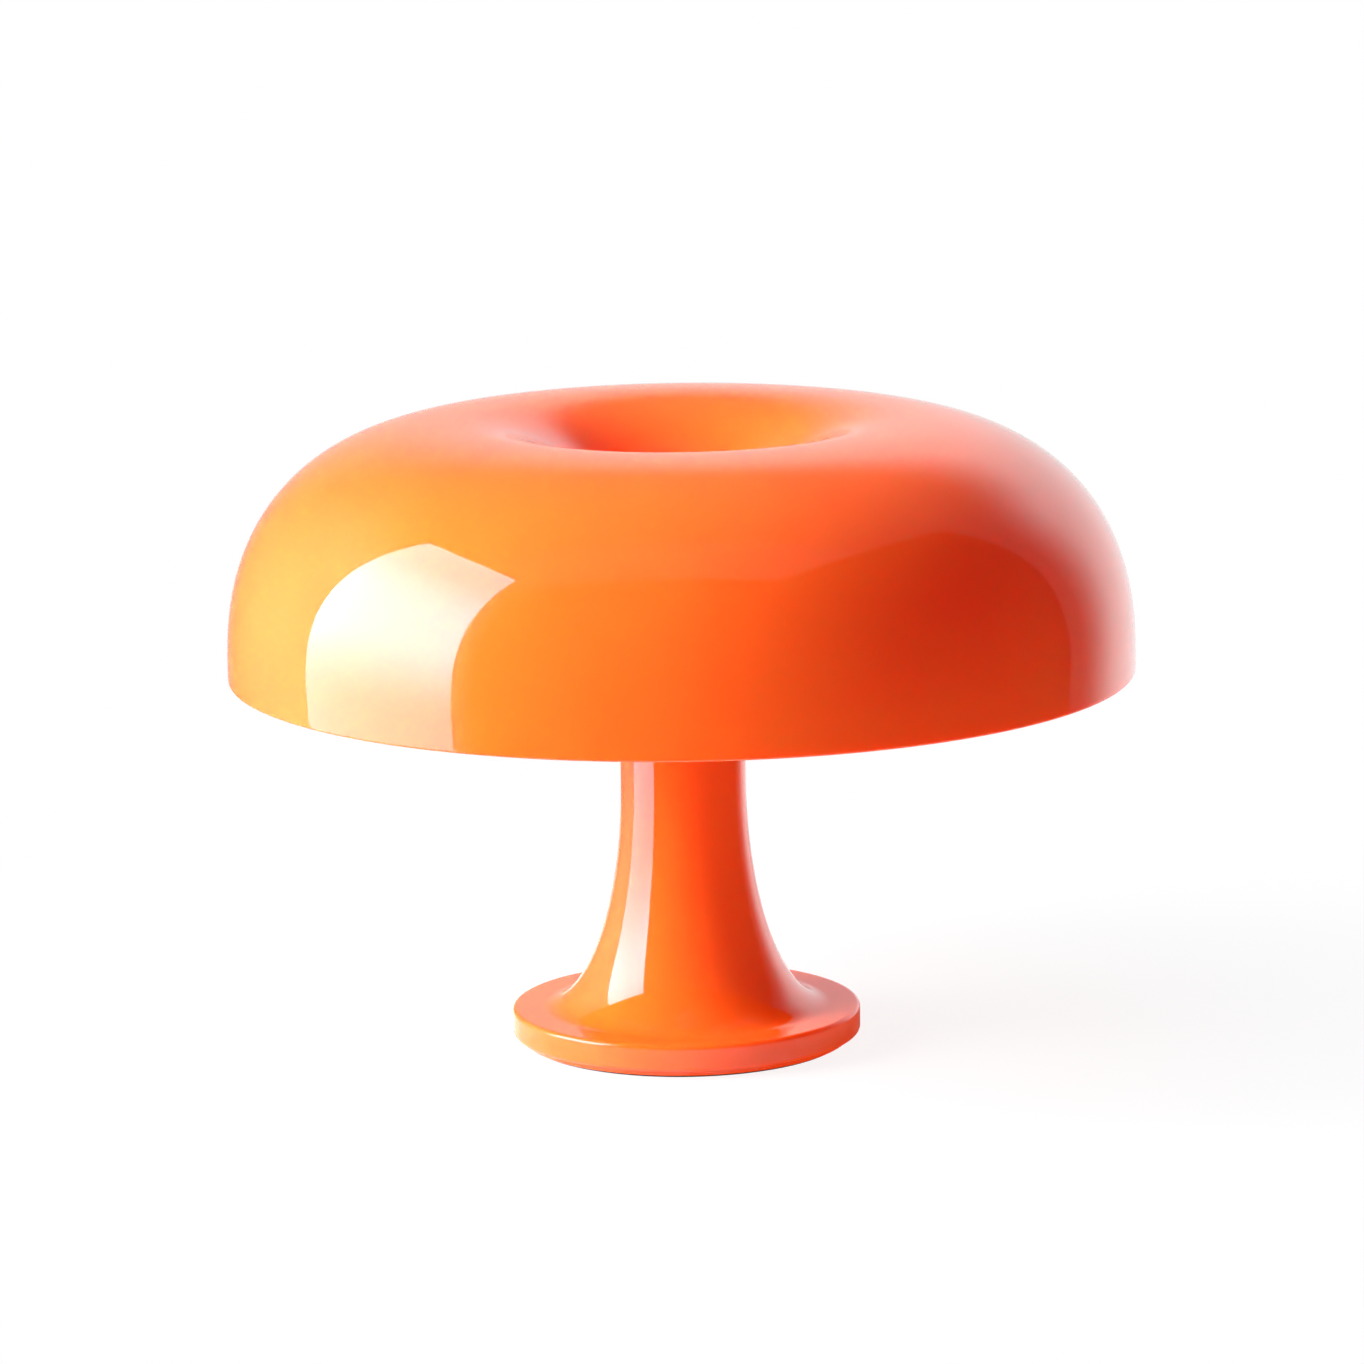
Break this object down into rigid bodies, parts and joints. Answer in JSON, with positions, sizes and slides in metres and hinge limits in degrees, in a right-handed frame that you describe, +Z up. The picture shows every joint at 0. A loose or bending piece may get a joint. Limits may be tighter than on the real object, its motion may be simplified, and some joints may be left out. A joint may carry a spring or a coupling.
{
  "type": "table lamp",
  "caption": "Mushroom table lamp: a glossy domed shade with a funnel in its top lifts off a trumpet stem on a flat round base, with screw-in bulbs set radially inside.",
  "frame": {"origin": "centre of the foot ring, on the table", "axes": "+Z up along the stem, +X to the right seen from the front, +Y to the back, where the mains lead goes in"},
  "size_m": [0.32, 0.32, 0.223],
  "materials": {
    "orange_shell": "glossy, slightly see-through orange moulded plastic",
    "black_rubber": "matt black rubber",
    "clear_silicone": "milky silicone",
    "cast_iron": "raw casting",
    "plated_steel": "zinc plated",
    "brass": "bright brass",
    "white_plastic": "matt white heat-resistant plastic",
    "opal_glass": "white opal glass",
    "cap_metal": "nickel plated",
    "dark_insulator": "black glass insulator with a solder tip",
    "brown_wire": "insulated flexible wire",
    "blue_wire": "insulated flexible wire",
    "white_leads": "heat-resistant insulated leads"
  },
  "bodies": {
    "base": {"stem": "orange_shell", "base_disc": "orange_shell", "base_cover": "orange_shell", "foot_pad": "black_rubber", "mains_inlet_bush": "black_rubber", "shade_seat_ring": "clear_silicone", "ballast": "cast_iron", "centre_tube": "plated_steel", "upper_tube_nut": "plated_steel", "upper_tube_washer": "plated_steel", "lower_tube_nut": "plated_steel", "lower_tube_washer": "plated_steel", "cover_screws": "plated_steel", "hub_screws": "plated_steel", "terminal_screws": "plated_steel", "terminal_fixing": "plated_steel", "thread_insert": "brass", "holder_nipples": "brass", "centre_contacts": "brass", "terminal_inserts": "brass", "screw_shell_1": "brass", "screw_shell_2": "brass", "screw_shell_3": "brass", "screw_shell_4": "brass", "holder_hub": "white_plastic", "hub_cover": "white_plastic", "junction_block": "white_plastic", "terminal_block": "white_plastic", "lampholder_1": "white_plastic", "lampholder_2": "white_plastic", "lampholder_3": "white_plastic", "lampholder_4": "white_plastic", "live_wire": "brown_wire", "neutral_wire": "blue_wire", "holder_leads": "white_leads"},
    "shade": {"shade_dome": "orange_shell", "shade_funnel": "orange_shell"},
    "knob": {"shade_knob": "orange_shell", "knob_stud": "plated_steel", "knob_clip": "plated_steel"},
    "bulb_1": {"bulb_glass_1": "opal_glass", "bulb_cap_1": "cap_metal", "bulb_contact_1": "dark_insulator"},
    "bulb_2": {"bulb_glass_2": "opal_glass", "bulb_cap_2": "cap_metal", "bulb_contact_2": "dark_insulator"},
    "bulb_3": {"bulb_glass_3": "opal_glass", "bulb_cap_3": "cap_metal", "bulb_contact_3": "dark_insulator"},
    "bulb_4": {"bulb_glass_4": "opal_glass", "bulb_cap_4": "cap_metal", "bulb_contact_4": "dark_insulator"}
  },
  "joints": [
    {"name": "shade_lift", "type": "slide", "parent": "base", "child": "shade", "axis": [0, 0, 1], "range_m": [0, 0.12]},
    {"name": "knob_turn", "type": "hinge", "parent": "shade", "child": "knob", "pos_m": [0, 0, 0.187], "axis": [0, 0, 1], "continuous": true},
    {"name": "bulb_1_turn", "type": "hinge", "parent": "base", "child": "bulb_1", "pos_m": [0.0864, 0, 0.162], "axis": [1, 0, 0], "continuous": true},
    {"name": "bulb_2_turn", "type": "hinge", "parent": "base", "child": "bulb_2", "pos_m": [0, 0.0864, 0.162], "axis": [0, 1, 0], "continuous": true},
    {"name": "bulb_3_turn", "type": "hinge", "parent": "base", "child": "bulb_3", "pos_m": [-0.0864, 0, 0.162], "axis": [-1, 0, 0], "continuous": true},
    {"name": "bulb_4_turn", "type": "hinge", "parent": "base", "child": "bulb_4", "pos_m": [0, -0.0864, 0.162], "axis": [0, -1, 0], "continuous": true}
  ]
}
